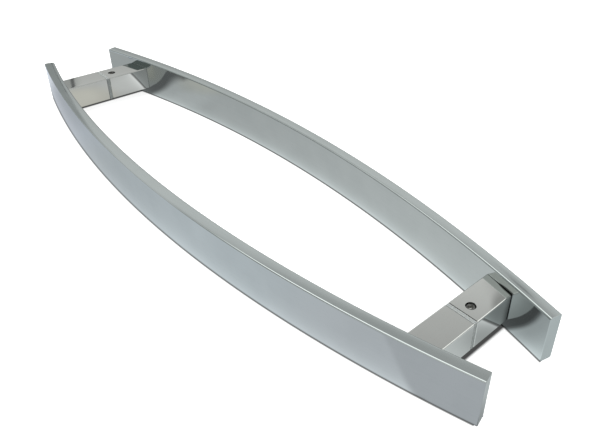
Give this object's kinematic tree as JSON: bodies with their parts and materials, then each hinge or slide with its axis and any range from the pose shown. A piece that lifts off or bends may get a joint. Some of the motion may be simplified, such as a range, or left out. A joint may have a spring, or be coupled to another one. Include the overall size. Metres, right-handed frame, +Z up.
{
  "type": "ladder pull handle",
  "caption": "Back-to-back bowed flat-bar door pull in polished aluminium: arched bars joined near their ends by square posts that clamp a door between plastic pads, locked by grub screws.",
  "frame": {"origin": "middle of the pair, level with the long bar edges it rests on", "axes": "+X along the bars, +Y from the front bar towards the back bar (the one whose posts carry the grub screws), +Z up, out of the screw holes' mouths"},
  "size_m": [0.5984, 0.159, 0.04],
  "materials": {
    "polished_aluminium": "polished, fine lengthwise polishing lines",
    "pad_plastic": "milky grey, satin",
    "fastener_steel": "zinc plated",
    "grub_steel": "dark, machined socket"
  },
  "bodies": {
    "root": {"back_bar": "polished_aluminium", "front_bar": "polished_aluminium", "back_post_left": "polished_aluminium", "back_post_right": "polished_aluminium", "front_post_left": "polished_aluminium", "front_post_right": "polished_aluminium", "back_washer_left": "pad_plastic", "back_washer_right": "pad_plastic", "front_washer_left": "pad_plastic", "front_washer_right": "pad_plastic", "fixing_stud_left": "fastener_steel", "fixing_stud_right": "fastener_steel", "post_screw_back_left": "fastener_steel", "post_screw_back_right": "fastener_steel", "post_screw_front_left": "fastener_steel", "post_screw_front_right": "fastener_steel", "grub_screw_left": "grub_steel", "grub_screw_right": "grub_steel"}
  },
  "joints": []
}
